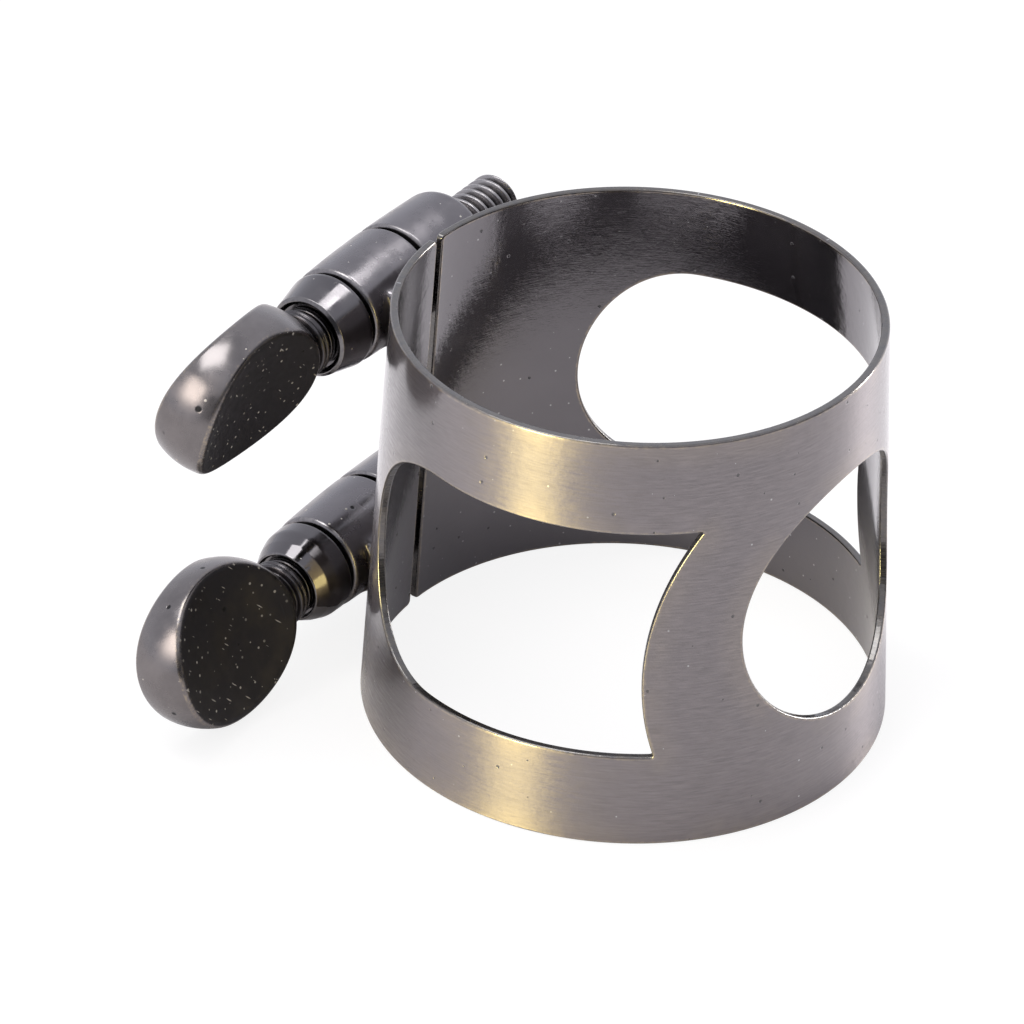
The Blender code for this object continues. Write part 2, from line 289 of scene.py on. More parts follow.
def skin(field, low, high, cell):
    """Quads on the zero surface of a distance field, with exact places and normals."""
    low = np.array(low, float)
    shape = np.ceil((np.array(high) - low) / cell).astype(int) + 1
    axes = [low[i] + cell * np.arange(shape[i]) for i in range(3)]
    grid = np.stack(np.meshgrid(*axes, indexing="ij"), axis=-1)
    inside = (field(grid.reshape(-1, 3)) < 0).reshape(shape)
    count = np.zeros(shape - 1, int)
    for i, j, k in product((0, 1), repeat=3):
        count += inside[i:shape[0] - 1 + i, j:shape[1] - 1 + j, k:shape[2] - 1 + k]
    crossing = (count > 0) & (count < 8)
    index = np.full(shape - 1, -1)
    index[crossing] = np.arange(int(crossing.sum()))
    middle = low + cell * (np.argwhere(crossing) + 0.5)
    points = middle.copy()
    for _ in range(6):
        value, gradient, _bend = slope(field, points, 0.004)
        size = np.maximum((gradient ** 2).sum(axis=1), 0.1)
        points -= gradient * (value / size)[:, None]
        points = np.clip(points, middle - 0.6 * cell, middle + 0.6 * cell)
    quads = []
    steps = np.eye(3, dtype=int)
    for axis in range(3):
        one = (axis + 1) % 3
        two = (axis + 2) % 3
        start = np.argwhere(np.diff(inside.astype(np.int8), axis=axis) != 0)
        clear = (start[:, one] > 0) & (start[:, two] > 0)
        clear &= (start[:, one] < shape[one] - 1) & (start[:, two] < shape[two] - 1)
        start = start[clear]
        ring = [start - steps[one] - steps[two], start - steps[two], start, start - steps[one]]
        corners = np.stack([index[tuple(spot.T)] for spot in ring], axis=1)
        entering = ~inside[tuple(start.T)]
        corners[entering] = corners[entering][:, ::-1]
        quads.append(corners)
    _value, gradient, _bend = slope(field, points, 0.01)
    _value, _gradient, bend = slope(field, points, 0.06)
    return points, np.concatenate(quads), gradient, bend


# ---------------------------------------------------------------- band

def band_radius(z):
    return WIDE_RADIUS - TAPER * z


def softened(corners):
    """A closed outline with rounded corners, as far as its sides have room, and long sides split."""
    outline = np.array(corners, float)
    come = outline - np.roll(outline, 1, axis=0)
    leave = np.roll(outline, -1, axis=0) - outline
    turn = np.arctan2(come[:, 0] * leave[:, 1] - come[:, 1] * leave[:, 0], (come * leave).sum(axis=1))
    room = 0.45 * np.minimum(np.linalg.norm(come, axis=1), np.linalg.norm(leave, axis=1))
    radii = np.minimum(CORNER_FILLET, room / np.maximum(np.abs(np.tan(turn / 2)), 1e-6))
    points, _normals = filleted([(*corner, fillet) for corner, fillet in zip(outline, radii)])
    split = []
    for start, end in zip(points, np.roll(points, -1, axis=0)):
        count = max(1, math.ceil(np.linalg.norm(end - start) / OUTLINE_STEP - 1e-6))
        split += [start + (end - start) * i / count for i in range(count)]
    return np.array(split)


def sheet_loops():
    """The rim and the windows on the unrolled sheet, each with the material on its left."""
    first = SLIT_WIDTH / 2
    last = 2 * HALF_ROUND - SLIT_WIDTH / 2
    rim = softened([(first, 0), (last, 0), (last, BAND_HEIGHT), (first, BAND_HEIGHT)])
    radius = (FLANK_HIGH - FLANK_LOW) / 2
    centre = HALF_ROUND + HOLLOW_PAST_BACK
    low = math.degrees(math.asin((HOLLOW_CENTRE_Z - FLANK_LOW) / HOLLOW_RADIUS))
    high = math.degrees(math.asin((FLANK_HIGH - HOLLOW_CENTRE_Z) / HOLLOW_RADIUS))
    flank = arc(FLANK_TIP + radius, FLANK_LOW + radius, radius, radius, 90, 270, 60)
    flank += arc(centre, HOLLOW_CENTRE_Z, HOLLOW_RADIUS, HOLLOW_RADIUS, 180 + low, 180 - high, 40)
    mirrored = [(2 * HALF_ROUND - s, z) for s, z in reversed(flank)]
    back = arc(HALF_ROUND, BACK_CENTRE_Z, BACK_HALF_WIDTH, BACK_HALF_HEIGHT, 0, 360, 120)[:-1]
    holes = [softened(loop[::-1]) for loop in (flank, mirrored, back)]
    return [rim] + holes


def away(loop):
    """Unit vectors out of the material along a loop that has it on the left."""
    come = loop - np.roll(loop, 1, axis=0)
    leave = np.roll(loop, -1, axis=0) - loop
    come /= np.linalg.norm(come, axis=1, keepdims=True)
    leave /= np.linalg.norm(leave, axis=1, keepdims=True)
    along = come + leave
    along /= np.linalg.norm(along, axis=1, keepdims=True)
    return np.stack([along[:, 1], -along[:, 0]], axis=1)


def rolled(flat, depth):
    """Places on the cone of points of the unrolled sheet; s = 0 is the slit, at +Y."""
    angle = math.pi / 2 + flat[:, 0] / MID_RADIUS
    radius = band_radius(flat[:, 1]) - depth
    return np.stack([radius * np.cos(angle), radius * np.sin(angle), flat[:, 1]], axis=1)


def rolled_normals(flat, outward, lean_s, lean_z):
    angle = math.pi / 2 + flat[:, 0] / MID_RADIUS
    cosine = np.cos(angle)
    sine = np.sin(angle)
    zero = np.zeros_like(cosine)
    size = math.hypot(1, TAPER)
    out = np.stack([cosine, sine, zero + TAPER], axis=1) / size
    around = np.stack([-sine, cosine, zero], axis=1)
    up = np.stack([-TAPER * cosine, -TAPER * sine, zero + 1], axis=1) / size
    return out * outward[:, None] + around * lean_s[:, None] + up * lean_z[:, None]


def nearest(points, outline):
    """Distance of each point from the closest point of the outlines."""
    found = np.full(len(points), np.inf)
    for start in range(0, len(points), 1000):
        part = points[start:start + 1000]
        gaps = np.linalg.norm(part[:, None, :] - outline[None, :, :], axis=2)
        found[start:start + 1000] = gaps.min(axis=1)
    return found


def fine_band(material):
    loops = sheet_loops()
    flat_loops = [loop - SHEET_FILLET * away(loop) for loop in loops]
    border = np.concatenate(flat_loops)
    s_values = np.arange(SLIT_WIDTH + 0.3, 2 * HALF_ROUND - SLIT_WIDTH, COLUMN_STEP)
    z_values = np.arange(0.4, BAND_HEIGHT - 0.3, ROW_STEP)
    filling = np.array([(s, z) for s in s_values for z in z_values])
    filling = filling[nearest(filling, border) > FILLING_MARGIN]
    every = np.concatenate([border, filling])
    faces = []
    start = 0
    for number, loop in enumerate(flat_loops):
        members = list(range(start, start + len(loop)))
        faces.append(members if number == 0 else members[::-1])
        start += len(loop)
    inside_only = 1
    flat = delaunay_2d_cdt([Vector(p) for p in every], [], faces, inside_only, 1e-7)
    triangles = [list(c) for c, within in zip(flat[2], flat[5]) if list(within) == [0]]
    place = {}
    for number, origins in enumerate(flat[3]):
        for origin in origins:
            place[origin] = number
    used = sorted({corner for triangle in triangles for corner in triangle})
    order = {old: new for new, old in enumerate(used)}
    skin_flat = np.array([tuple(flat[0][old]) for old in used])
    count = len(used)
    one = np.ones(count)
    nothing = np.zeros(count)
    gap = nearest(skin_flat, border)
    flats = [skin_flat, skin_flat]
    depths = [nothing, nothing + SHEET]
    normals = [rolled_normals(skin_flat, one, nothing, nothing)]
    normals.append(rolled_normals(skin_flat, -one, nothing, nothing))
    sides = [nothing, one]
    gaps = [gap, gap]
    quads = [[order[c] for c in triangle] for triangle in triangles]
    quads += [[order[c] + count for c in reversed(triangle)] for triangle in triangles]
    total = 2 * count
    start = 0
    for loop in flat_loops:
        outward = away(loop)
        length = len(loop)
        first = np.array([order[place[start + i]] for i in range(length)])
        rings = [first]
        turns = list(np.linspace(0, 90, FILLET_STEPS + 1)[1:])
        turns += list(np.linspace(90, 180, FILLET_STEPS + 1)[:-1])
        for turn in turns:
            angle = math.radians(turn)
            flats.append(loop + outward * SHEET_FILLET * math.sin(angle))
            depth = SHEET_FILLET * (1 - abs(math.cos(angle)))
            second_corner = len(rings) > FILLET_STEPS
            depths.append(np.full(length, SHEET - depth if second_corner else depth))
            tilt = np.full(length, math.cos(angle))
            lean = outward * math.sin(angle)
            normals.append(rolled_normals(loop, tilt, lean[:, 0], lean[:, 1]))
            sides.append(np.full(length, turn / 180))
            gaps.append(np.full(length, -SHEET_FILLET * math.sin(angle)))
            rings.append(np.arange(total, total + length))
            total += length
        rings.append(first + count)
        for above, below in zip(rings, rings[1:]):
            quads += np.stack([above, below, np.roll(below, -1), np.roll(above, -1)], axis=1).tolist()
        start += length
    spots = np.concatenate(flats)
    points = rolled(spots, np.concatenate(depths))
    values = {
        "around": spots[:, 0], "side": np.concatenate(sides), "edge_gap": np.concatenate(gaps),
    }
    add_piece(
        "band", "clamp_band", points, quads, np.concatenate(normals), values,
        material,
    )


# ---------------------------------------------------------------- barrels

def rounded_tube(u, radial, start, end, bore, outer, start_fillet, end_fillet):
    """Distance field of a tube whose two outer edges have their own fillets."""
    middle = (start + end) / 2
    fillet = np.where(u < middle, start_fillet, end_fillet)
    wide = np.abs(u - middle) - (end - start) / 2 + fillet
    tall = radial - outer + fillet
    corner = np.hypot(np.maximum(wide, 0), np.maximum(tall, 0))
    solid = corner + np.minimum(np.maximum(wide, tall), 0) - fillet
    return smooth_max(solid, bore - radial, BORE_FILLET)


def fine_barrel(clamp, side, material):
    place = screw_axis(clamp)
    shift = CLAMPS[clamp]["barrel_shift"]
    if side == "near":
        start = shift + SLIT_FACE
        end = shift + NEAR_END
        bore = NEAR_BORE
        fillets = NEAR_FILLETS
        foot = (start + FOOT_SETBACK, shift + FOOT_REACH)
    else:
        start = shift - FAR_END
        end = shift - SLIT_FACE
        bore = FAR_BORE
        fillets = FAR_FILLETS
        foot = (shift - FOOT_REACH, end - FOOT_SETBACK)

    def field(points):
        u = -points[:, 0]
        radial = np.hypot(points[:, 1], points[:, 2])
        inner = np.abs(u - shift)
        outer = BARREL_RADIUS - (BARREL_RADIUS - BARREL_END_RADIUS) * np.clip(inner / NEAR_END, 0, 1) ** 2
        tube = rounded_tube(u, radial, start, end, bore, outer, *fillets)
        wide = np.abs(u - (foot[0] + foot[1]) / 2) - (foot[1] - foot[0]) / 2
        tall = np.abs(points[:, 2]) - FOOT_HALF
        block = smooth_max(smooth_max(wide, tall, 0.3), points[:, 1], 0.2)
        block = smooth_max(block, bore + 0.3 - radial, 0.1)
        body = smooth_min(tube, block, 0.35)
        body = np.maximum(body, bore - radial)
        ring = np.hypot(points[:, 0], points[:, 1] + place[1])
        cone = ring - band_radius(points[:, 2] + place[2])
        return smooth_max(body, -cone, 0.05)

    low = (-end - 0.2, -4.6, -3.1)
    high = (-start + 0.2, 3.1, 3.1)
    points, quads, normals, bend = skin(field, low, high, BARREL_CELL)
    values = {"wear": np.clip((bend - 1.2) / 3, 0, 1), "face": np.zeros(len(points))}
    add_piece(
        f"{clamp}_{side}_barrel", "clamp_band", points + place, quads, normals,
        values, material,
    )


# ---------------------------------------------------------------- bells

def fine_bell(clamp, material):
    """A turned collar; its outline is rows of (u, radius, fillet)."""
    start, end = CLAMPS[clamp]["bell"]
    floor = end - BELL_DISH_DEPTH
    if CLAMPS[clamp]["domed"]:
        dome = [(start + 1.0, BELL_RADIUS - 0.04, 1.2), (start + 1.75, BELL_RADIUS - 0.3, 1.0)]
        rim = [(end, BELL_SMALL_RADIUS + 0.05, 0.12)]
        mouth = BELL_DISH_RADIUS
    else:
        dome = [(start + 0.3, BELL_RADIUS, 0.3), (end - 0.14, BELL_RADIUS - 0.4, 0.08)]
        rim = [(end, BELL_SMALL_RADIUS + 0.16, 0.04)]
        mouth = BELL_SMALL_RADIUS + 0.1
    dish = [(end, mouth, 0.02), (floor, BELL_DISH_RADIUS - 0.06, 0.08), (floor, BELL_BORE, 0.05)]
    closed = [(start, BELL_BORE, 0.06)] + dish[::-1] + rim + dome[::-1] + [(start, BELL_RADIUS, 0.16)]
    points, normals = filleted(closed, BELL_FILLET_STEPS)
    sharp = np.array([min(1.0, 0.12 / max(corner[2], 0.05)) for corner in closed])
    wear = np.repeat(sharp, BELL_FILLET_STEPS + 1)
    grid, quads, facing, wear = lathe(*fenced(points, normals, wear), BELL_SEGMENTS)
    values = {"wear": wear, "face": np.zeros(len(wear))}
    add_piece(
        clamp + "_bell", clamp + "_bell_body", grid + screw_axis(clamp), quads,
        facing, values, material,
    )


# ---------------------------------------------------------------- thumb screws

def fine_head(clamp, material):
    centre = CLAMPS[clamp]["head_centre"]
    bell_end = CLAMPS[clamp]["bell"][1]
    neck = bell_end - NECK_INSET

    def parts(points):
        u = -points[:, 0] - centre
        radial = np.hypot(points[:, 1], points[:, 2])
        scaled = np.hypot(u / HEAD_HALF_LENGTH, radial / HEAD_HALF_WIDTH)
        steep = np.hypot(u / HEAD_HALF_LENGTH ** 2, radial / HEAD_HALF_WIDTH ** 2)
        egg = scaled * (scaled - 1) / np.maximum(steep, 1e-6)
        reach = np.hypot(u - SCOOP_CENTRE, np.abs(points[:, 1]) - (WEB_HALF + SCOOP_RADIUS))
        return egg, SCOOP_RADIUS - reach

    def field(points):
        egg, scoop = parts(points)
        u = -points[:, 0]
        radial = np.hypot(points[:, 1], points[:, 2])
        body = smooth_max(egg, scoop, RIM_BLEND)
        stem_end = centre - HEAD_HALF_LENGTH + STEM_INTO_HEAD
        stem = np.maximum(radial - NECK_RADIUS, np.maximum(neck - u, u - stem_end))
        body = smooth_min(body, stem, NECK_BLEND)
        along = np.abs(u - neck - SHOULDER_HALF) - SHOULDER_HALF
        shoulder = smooth_max(radial - NECK_SHOULDER, along, 0.1)
        body = smooth_min(body, shoulder, 0.06)
        for offset in BEAD_OFFSETS:
            above = np.maximum(radial - BEAD_RADIUS + BEAD_ROUND, 0)
            bead = np.hypot(u - bell_end - offset, above) - BEAD_ROUND
            body = smooth_min(body, bead, 0.08)
        socket = np.maximum(radial - SPIGOT_RADIUS - SOCKET_GAP, u - neck - SPIGOT_LENGTH - SOCKET_GAP)
        return np.maximum(body, -socket)

    low = (-centre - HEAD_HALF_LENGTH - 0.2, -3.2, -HEAD_HALF_WIDTH - 0.2)
    high = (-neck + 0.2, 3.2, HEAD_HALF_WIDTH + 0.2)
    points, quads, normals, bend = skin(field, low, high, HEAD_CELL)
    egg, scoop = parts(points)
    face = np.clip((scoop - egg) / 0.08 + 0.5, 0, 1)
    past_neck = np.clip((-points[:, 0] - bell_end - NECK_BEADS_LENGTH) / 0.3, 0, 1)
    # The neck mask marks where the head material paints shade on the neck inside the bell's dish; the
    # face mask marks the darker faces, partly painted shade.
    values = {
        "wear": np.clip((bend - 1.35) / 2.2, 0, 1) * past_neck, "face": face * past_neck,
        "neck": 1 - past_neck,
    }
    turn = CLAMPS[clamp]["turn"]
    add_piece(
        clamp + "_thumb_head", clamp + "_screw",
        turned_about_x(points, turn) + screw_axis(clamp), quads, turned_about_x(normals, turn), values,
        material,
    )


def fine_rod(clamp, material):
    """A spigot for the head, a plain shank and a rounded thread, as rings along +X."""
    segments = ROD_SEGMENTS
    bell_end = CLAMPS[clamp]["bell"][1]
    shoulder = NECK_INSET + JOINT_GAP - bell_end
    turns = np.arange(segments) * 2 * math.pi / segments
    rows = round((TIP_END - THREAD_START) / THREAD_PITCH * ROWS_PER_PITCH)
    places = [shoulder - JOINT_GAP - SPIGOT_LENGTH, shoulder, shoulder, THREAD_START - THREAD_RUNOUT]
    radii = [SPIGOT_RADIUS, SPIGOT_RADIUS, SHANK_RADIUS, SHANK_RADIUS]
    grid_x = np.array(places)[:, None] + np.zeros(segments)
    grid_r = np.array(radii)[:, None] + np.zeros(segments)
    thread_x = np.linspace(THREAD_START, TIP_END, rows + 1)[:, None] + np.zeros(segments)
    phase = thread_x / THREAD_PITCH - turns[None, :] / (2 * math.pi)
    wave = np.clip(CREST_FLATNESS * np.cos(2 * math.pi * phase), -1, 1)
    wave = 0.5 + 0.5 * np.sin(wave * math.pi / 2)
    thread_r = THREAD_ROOT + (THREAD_RADIUS - THREAD_ROOT) * wave
    slant = (THREAD_RADIUS - THREAD_ROOT + TIP_DROP) / TIP_CHAMFER
    chamfer = THREAD_ROOT - TIP_DROP + (TIP_END - thread_x) * slant
    thread_r = np.minimum(thread_r, chamfer)
    end_x = np.array([TIP_END, TIP_END])[:, None] + np.zeros(segments)
    end_r = np.array([THREAD_ROOT - 0.3, 0.3])[:, None] + np.zeros(segments)
    along = np.concatenate([grid_x, thread_x, end_x])
    radius = np.concatenate([grid_r, thread_r, end_r])
    points = np.stack([along, radius * np.cos(turns), radius * np.sin(turns)], axis=-1)
    lengthwise = np.gradient(points, axis=0)
    crosswise = np.roll(points, -1, axis=1) - np.roll(points, 1, axis=1)
    normals = np.cross(crosswise, lengthwise)
    radial = points * np.array([0, 1, 1])
    radial /= np.linalg.norm(radial, axis=2, keepdims=True)
    normals[0] = (-1, 0, 0)
    normals[1:4] = radial[1:4]
    normals[-2:] = (1, 0, 0)
    length = len(along)
    index = np.arange(length * segments).reshape(length, segments)
    quads = np.stack(
        [index[:-1], np.roll(index[:-1], -1, axis=1), np.roll(index[1:], -1, axis=1), index[1:]],
        axis=-1,
    ).reshape(-1, 4)
    faces = quads.tolist() + [index[0][::-1].tolist(), index[-1].tolist()]
    crest = (radius - THREAD_ROOT) / (THREAD_RADIUS - THREAD_ROOT)
    # This attribute holds the crest height, which the thread material uses to paint shade into the thread
    # roots.
    values = {"wear": np.clip(crest, 0, 1).ravel(), "face": np.zeros(crest.size)}
    add_piece(
        clamp + "_screw_rod", clamp + "_screw",
        points.reshape(-1, 3) + screw_axis(clamp), faces, normals.reshape(-1, 3), values, material,
    )


# ---------------------------------------------------------------- finishes

class Finish:
    """A node material built from small named steps."""

    def __init__(self, name):
        self.material = bpy.data.materials.new(name)
        self.material.use_nodes = True
        self.tree = self.material.node_tree
        self.shader = self.tree.nodes["Principled BSDF"]
        self.shader.inputs["Metallic"].default_value = 1.0
        coordinates = self.add("ShaderNodeTexCoord").outputs["Object"]
        scaled = self.add("ShaderNodeVectorMath", {0: coordinates}, operation="SCALE")
        scaled.inputs["Scale"].default_value = 1 / MM
        self.mm = scaled.outputs[0]

    def add(self, kind, sockets=None, **settings):
        node = self.tree.nodes.new(kind)
        for key, value in settings.items():
            setattr(node, key, value)
        for key, value in (sockets or {}).items():
            self.set(node.inputs[key], value)
        return node

    def set(self, socket, value):
        if isinstance(value, bpy.types.NodeSocket):
            self.tree.links.new(value, socket)
        else:
            socket.default_value = value

    def plug(self, name, value):
        self.set(self.shader.inputs[name], value)

    def math(self, operation, a, b=0.0, clamp=False):
        return self.add("ShaderNodeMath", {0: a, 1: b}, operation=operation, use_clamp=clamp).outputs[0]

    def ramp(self, value, low, high, to_low=0.0, to_high=1.0):
        """value carried smoothly from low..high to to_low..to_high."""
        sockets = {"Value": value, "From Min": low, "From Max": high, "To Min": to_low, "To Max": to_high}
        return self.add("ShaderNodeMapRange", sockets, interpolation_type="SMOOTHSTEP").outputs[0]

    def mix(self, factor, a, b):
        node = self.add("ShaderNodeMix", {0: factor, 6: a, 7: b}, data_type="RGBA")
        return node.outputs[2]

    def value(self, name):
        return self.add("ShaderNodeAttribute", attribute_name=name).outputs["Fac"]

    def stretched(self, vector, scale):
        return self.add("ShaderNodeVectorMath", {0: vector, 1: scale}, operation="MULTIPLY").outputs[0]

    def noise(self, vector, scale, detail=2.0, roughness=0.5):
        sockets = {"Vector": vector, "Scale": scale, "Detail": detail, "Roughness": roughness}
        return self.add("ShaderNodeTexNoise", sockets).outputs[0]

    def specks(self, vector, scale, share, low, high, dimensions="3D"):
        """Round specks: one per cell of a cell pattern, kept in a share of the cells."""
        sockets = {"Vector": vector, "Scale": scale}
        cells = self.add("ShaderNodeTexVoronoi", sockets, voronoi_dimensions=dimensions)
        chance = self.add("ShaderNodeSeparateColor", {0: cells.outputs["Color"]})
        kept = self.math("LESS_THAN", chance.outputs[0], share)
        size = self.ramp(chance.outputs[1], 0.0, 1.0, 0.5, 1.3)
        spot = self.ramp(self.math("DIVIDE", cells.outputs["Distance"], size), low, high, 1.0, 0.0)
        return self.math("MULTIPLY", spot, kept)

    def bump(self, height, strength, distance, normal=None):
        sockets = {"Height": height, "Strength": strength, "Distance": distance}
        if normal is not None:
            sockets["Normal"] = normal
        return self.add("ShaderNodeBump", sockets).outputs[0]


def grey(level, tint=(1.0, 1.0, 1.0)):
    return (level * tint[0], level * tint[1], level * tint[2], 1.0)


BRASS = (0.40, 0.33, 0.24, 1.0)


def band_finish():
    finish = Finish("band_gunmetal")
    around = finish.value("around")
    side = finish.value("side")
    gap = finish.value("edge_gap")
    height = finish.add("ShaderNodeSeparateXYZ", {0: finish.mm}).outputs[2]
    flat = finish.add("ShaderNodeCombineXYZ", {0: around, 1: height, 2: side}).outputs[0]
    hair = finish.noise(finish.stretched(flat, (0.8, 10.0, 3.0)), 1.0, 3.0, 0.75)
    streak = finish.noise(finish.stretched(flat, (0.45, 8.0, 2.0)), 1.0, 4.0, 0.75)
    cloud = finish.noise(finish.mm, 0.16, 3.0, 0.55)
    ragged = finish.noise(finish.mm, 2.4, 4.0, 0.7)
    outside = finish.mix(streak, grey(0.15, (1.0, 0.87, 0.89)), grey(0.245, (1.0, 0.87, 0.88)))
    inside = finish.mix(cloud, grey(0.13, (1.0, 0.94, 1.0)), grey(0.175, (1.0, 0.94, 1.0)))
    colour = finish.mix(side, outside, inside)
    rub = finish.math("SUBTRACT", finish.ramp(gap, 0.0, 0.22, 0.7, 0.0), ragged)
    rub = finish.ramp(rub, -0.05, 0.4, 0.0, 0.6)
    colour = finish.mix(rub, colour, BRASS)
    thin = finish.math("MULTIPLY", finish.ramp(gap, 0.0, 1.8, 1.0, 0.0), finish.ramp(cloud, 0.42, 0.6))
    thin = finish.math("MULTIPLY", thin, finish.ramp(side, 0.0, 0.1, 0.2, 0.0))
    colour = finish.mix(thin, colour, BRASS)
    # Painted shade: the sheet's rounded cut edges are darkened to near black, darkest mid-edge.
    edge_face_shade = finish.ramp(gap, -SHEET_FILLET, 0.0, 0.75, 0.0)
    colour = finish.mix(edge_face_shade, colour, grey(0.045))
    twofold = finish.math("ADD", height, finish.math("MULTIPLY", side, 53.0))
    sheet = finish.add("ShaderNodeCombineXYZ", {0: around, 1: twofold}).outputs[0]
    pits = finish.specks(sheet, 0.5, 0.35, 0.02, 0.05, "2D")
    colour = finish.mix(finish.math("MULTIPLY", pits, 0.8), colour, grey(0.03))
    dust_share = finish.ramp(side, 0.0, 1.0, 0.12, 0.5)
    dust = finish.specks(sheet, 0.9, dust_share, 0.02, 0.055, "2D")
    colour = finish.mix(finish.math("MULTIPLY", dust, 0.7), colour, grey(0.55))
    finish.plug("Base Color", colour)
    brushed = finish.ramp(hair, 0.3, 0.7, 0.28, 0.54)
    rough = finish.math("ADD", brushed, finish.math("MULTIPLY", cloud, 0.08))
    inner_rough = finish.ramp(cloud, 0.3, 0.7, 0.09, 0.17)
    rough = finish.add("ShaderNodeMix", {0: side, 2: rough, 3: inner_rough}).outputs[0]
    finish.plug("Roughness", rough)
    finish.plug("Anisotropic", finish.ramp(side, 0.0, 1.0, 0.85, 0.0))
    finish.plug("Coat Weight", finish.ramp(side, 0.0, 1.0, 1.0, 0.3))
    finish.plug("Coat IOR", 1.75)
    finish.plug("Coat Roughness", finish.ramp(cloud, 0.3, 0.7, 0.05, 0.1))
    finish.plug("Anisotropic Rotation", 0.25)
    tangent = finish.add("ShaderNodeTangent", direction_type="RADIAL", axis="Z").outputs[0]
    finish.plug("Tangent", tangent)
    relief = finish.bump(hair, 0.35, 1.2e-5)
    waves = finish.noise(finish.mm, 1.3, 3.0, 0.6)
    relief = finish.bump(waves, 0.3, 4e-5, relief)
    relief = finish.bump(pits, 0.6, -3e-5, relief)
    finish.plug("Normal", relief)
    finish.plug("Coat Normal", relief)
    return finish.material


def polished_finish(name, dark, light, rough, speck_share, worn, worn_colour, dark_face_and_shade=None):
    """Plated metal with fine turning lines, soft clouds, worn edges, pits and dust; given a dark face
    colour, the faces are darkened, partly as their own finish and partly as painted shade, and the neck
    is darkened as painted shade.
    """
    finish = Finish(name)
    wear = finish.value("wear")
    cloud = finish.noise(finish.mm, 0.5, 4.0, 0.6)
    fine = finish.noise(finish.mm, 5.0, 3.0, 0.6)
    lines = finish.noise(finish.stretched(finish.mm, (9.0, 0.25, 0.25)), 1.0, 3.0, 0.6)
    colour = finish.mix(cloud, dark, light)
    # The scooped faces take a darker colour, partly their own darker finish and partly painted shade; the
    # neck inside the bell's dish gets the same colour as painted shade.
    if dark_face_and_shade is not None:
        face = finish.value("face")
        face_and_neck_shade = finish.math("MAXIMUM", face, finish.math("MULTIPLY", finish.value("neck"), 0.75))
        colour = finish.mix(face_and_neck_shade, colour, dark_face_and_shade)
    rub = finish.ramp(finish.math("MULTIPLY", wear, fine), 0.25, 0.6, 0.0, worn)
    colour = finish.mix(rub, colour, worn_colour)
    pits = finish.specks(finish.mm, 0.6, speck_share, 0.06, 0.11)
    dust = finish.specks(finish.mm, 1.1, speck_share, 0.05, 0.09)
    if dark_face_and_shade is not None:
        split = finish.add("ShaderNodeSeparateXYZ", {0: finish.mm})
        flat = finish.add("ShaderNodeCombineXYZ", {0: split.outputs[0], 1: split.outputs[2]}).outputs[0]
        face_dust = finish.specks(flat, 1.25, 0.7, 0.04, 0.09, "2D")
        patches = finish.ramp(finish.noise(flat, 0.35, 2.0, 0.5), 0.42, 0.56, 0.45, 1.0)
        face_dust = finish.math("MULTIPLY", face_dust, patches)
        lean = {"Vector": flat, "Angle": 0.8}
        crossed = finish.add("ShaderNodeVectorRotate", lean, rotation_type="Z_AXIS")
        scratches = finish.specks(
            finish.stretched(crossed.outputs[0], (0.7, 4.5, 1.0)), 1.0, 0.13, 0.06, 0.16, "2D",
        )
        marks = finish.math("MULTIPLY", finish.math("MAXIMUM", face_dust, scratches), face)
        dust = finish.math("MAXIMUM", dust, marks)
    colour = finish.mix(pits, colour, grey(0.03))
    colour = finish.mix(dust, colour, grey(0.6, (1.0, 0.95, 0.85)))
    finish.plug("Base Color", colour)
    roughness = finish.ramp(cloud, 0.35, 0.65, rough, rough + 0.14)
    if dark_face_and_shade is not None:
        roughness = finish.math("ADD", roughness, finish.math("MULTIPLY", face, 0.36))
    roughness = finish.math("ADD", roughness, finish.math("MULTIPLY", dust, 0.5))
    finish.plug("Roughness", roughness)
    relief = finish.bump(lines, 0.12, 8e-6)
    relief = finish.bump(cloud, 0.12, 5e-5, relief)
    relief = finish.bump(dust, 0.5, 2e-5, relief)
    finish.plug("Normal", finish.bump(pits, 0.7, -3e-5, relief))
    return finish.material


def thread_finish():
    finish = Finish("thread_steel")
    crest = finish.value("wear")
    thread_mottle = finish.noise(finish.mm, 1.6, 4.0, 0.65)
    bright = finish.mix(thread_mottle, grey(0.22, (1.0, 0.95, 0.95)), grey(0.34, (1.0, 0.95, 0.95)))
    # Painted shade: the thread roots are darkened to near black, blending to the crest colour towards the
    # crests, with a mottled edge.
    depth = finish.ramp(finish.math("ADD", crest, finish.math("MULTIPLY", thread_mottle, 0.3)), 0.15, 0.75)
    finish.plug("Base Color", finish.mix(depth, grey(0.02), bright))
    finish.plug("Roughness", finish.ramp(thread_mottle, 0.3, 0.7, 0.2, 0.38))
    fine = finish.noise(finish.mm, 9.0, 3.0, 0.6)
    finish.plug("Normal", finish.bump(fine, 0.2, 1e-5))
    return finish.material


# ---------------------------------------------------------------- studio

FLOOR_HALF = 1.5
FLOOR_COLOUR = (0.97, 0.93, 0.90, 1.0)
FLOOR_GLOW = 0.8
FLOOR_GLOW_STRENGTH = 1.06

# The room: how bright it is from below (0) to above (1), and the azimuth of its dark side
ROOM_LEVELS = [(0.0, 0.9), (0.5, 1.0), (0.7, 0.9), (1.0, 0.8)]
ROOM_TINT = (0.95, 0.97, 1.07)
ROOM_STRENGTH = 1.15
DARK_STRENGTH = 0.15
DARK_SIDE = 255.0

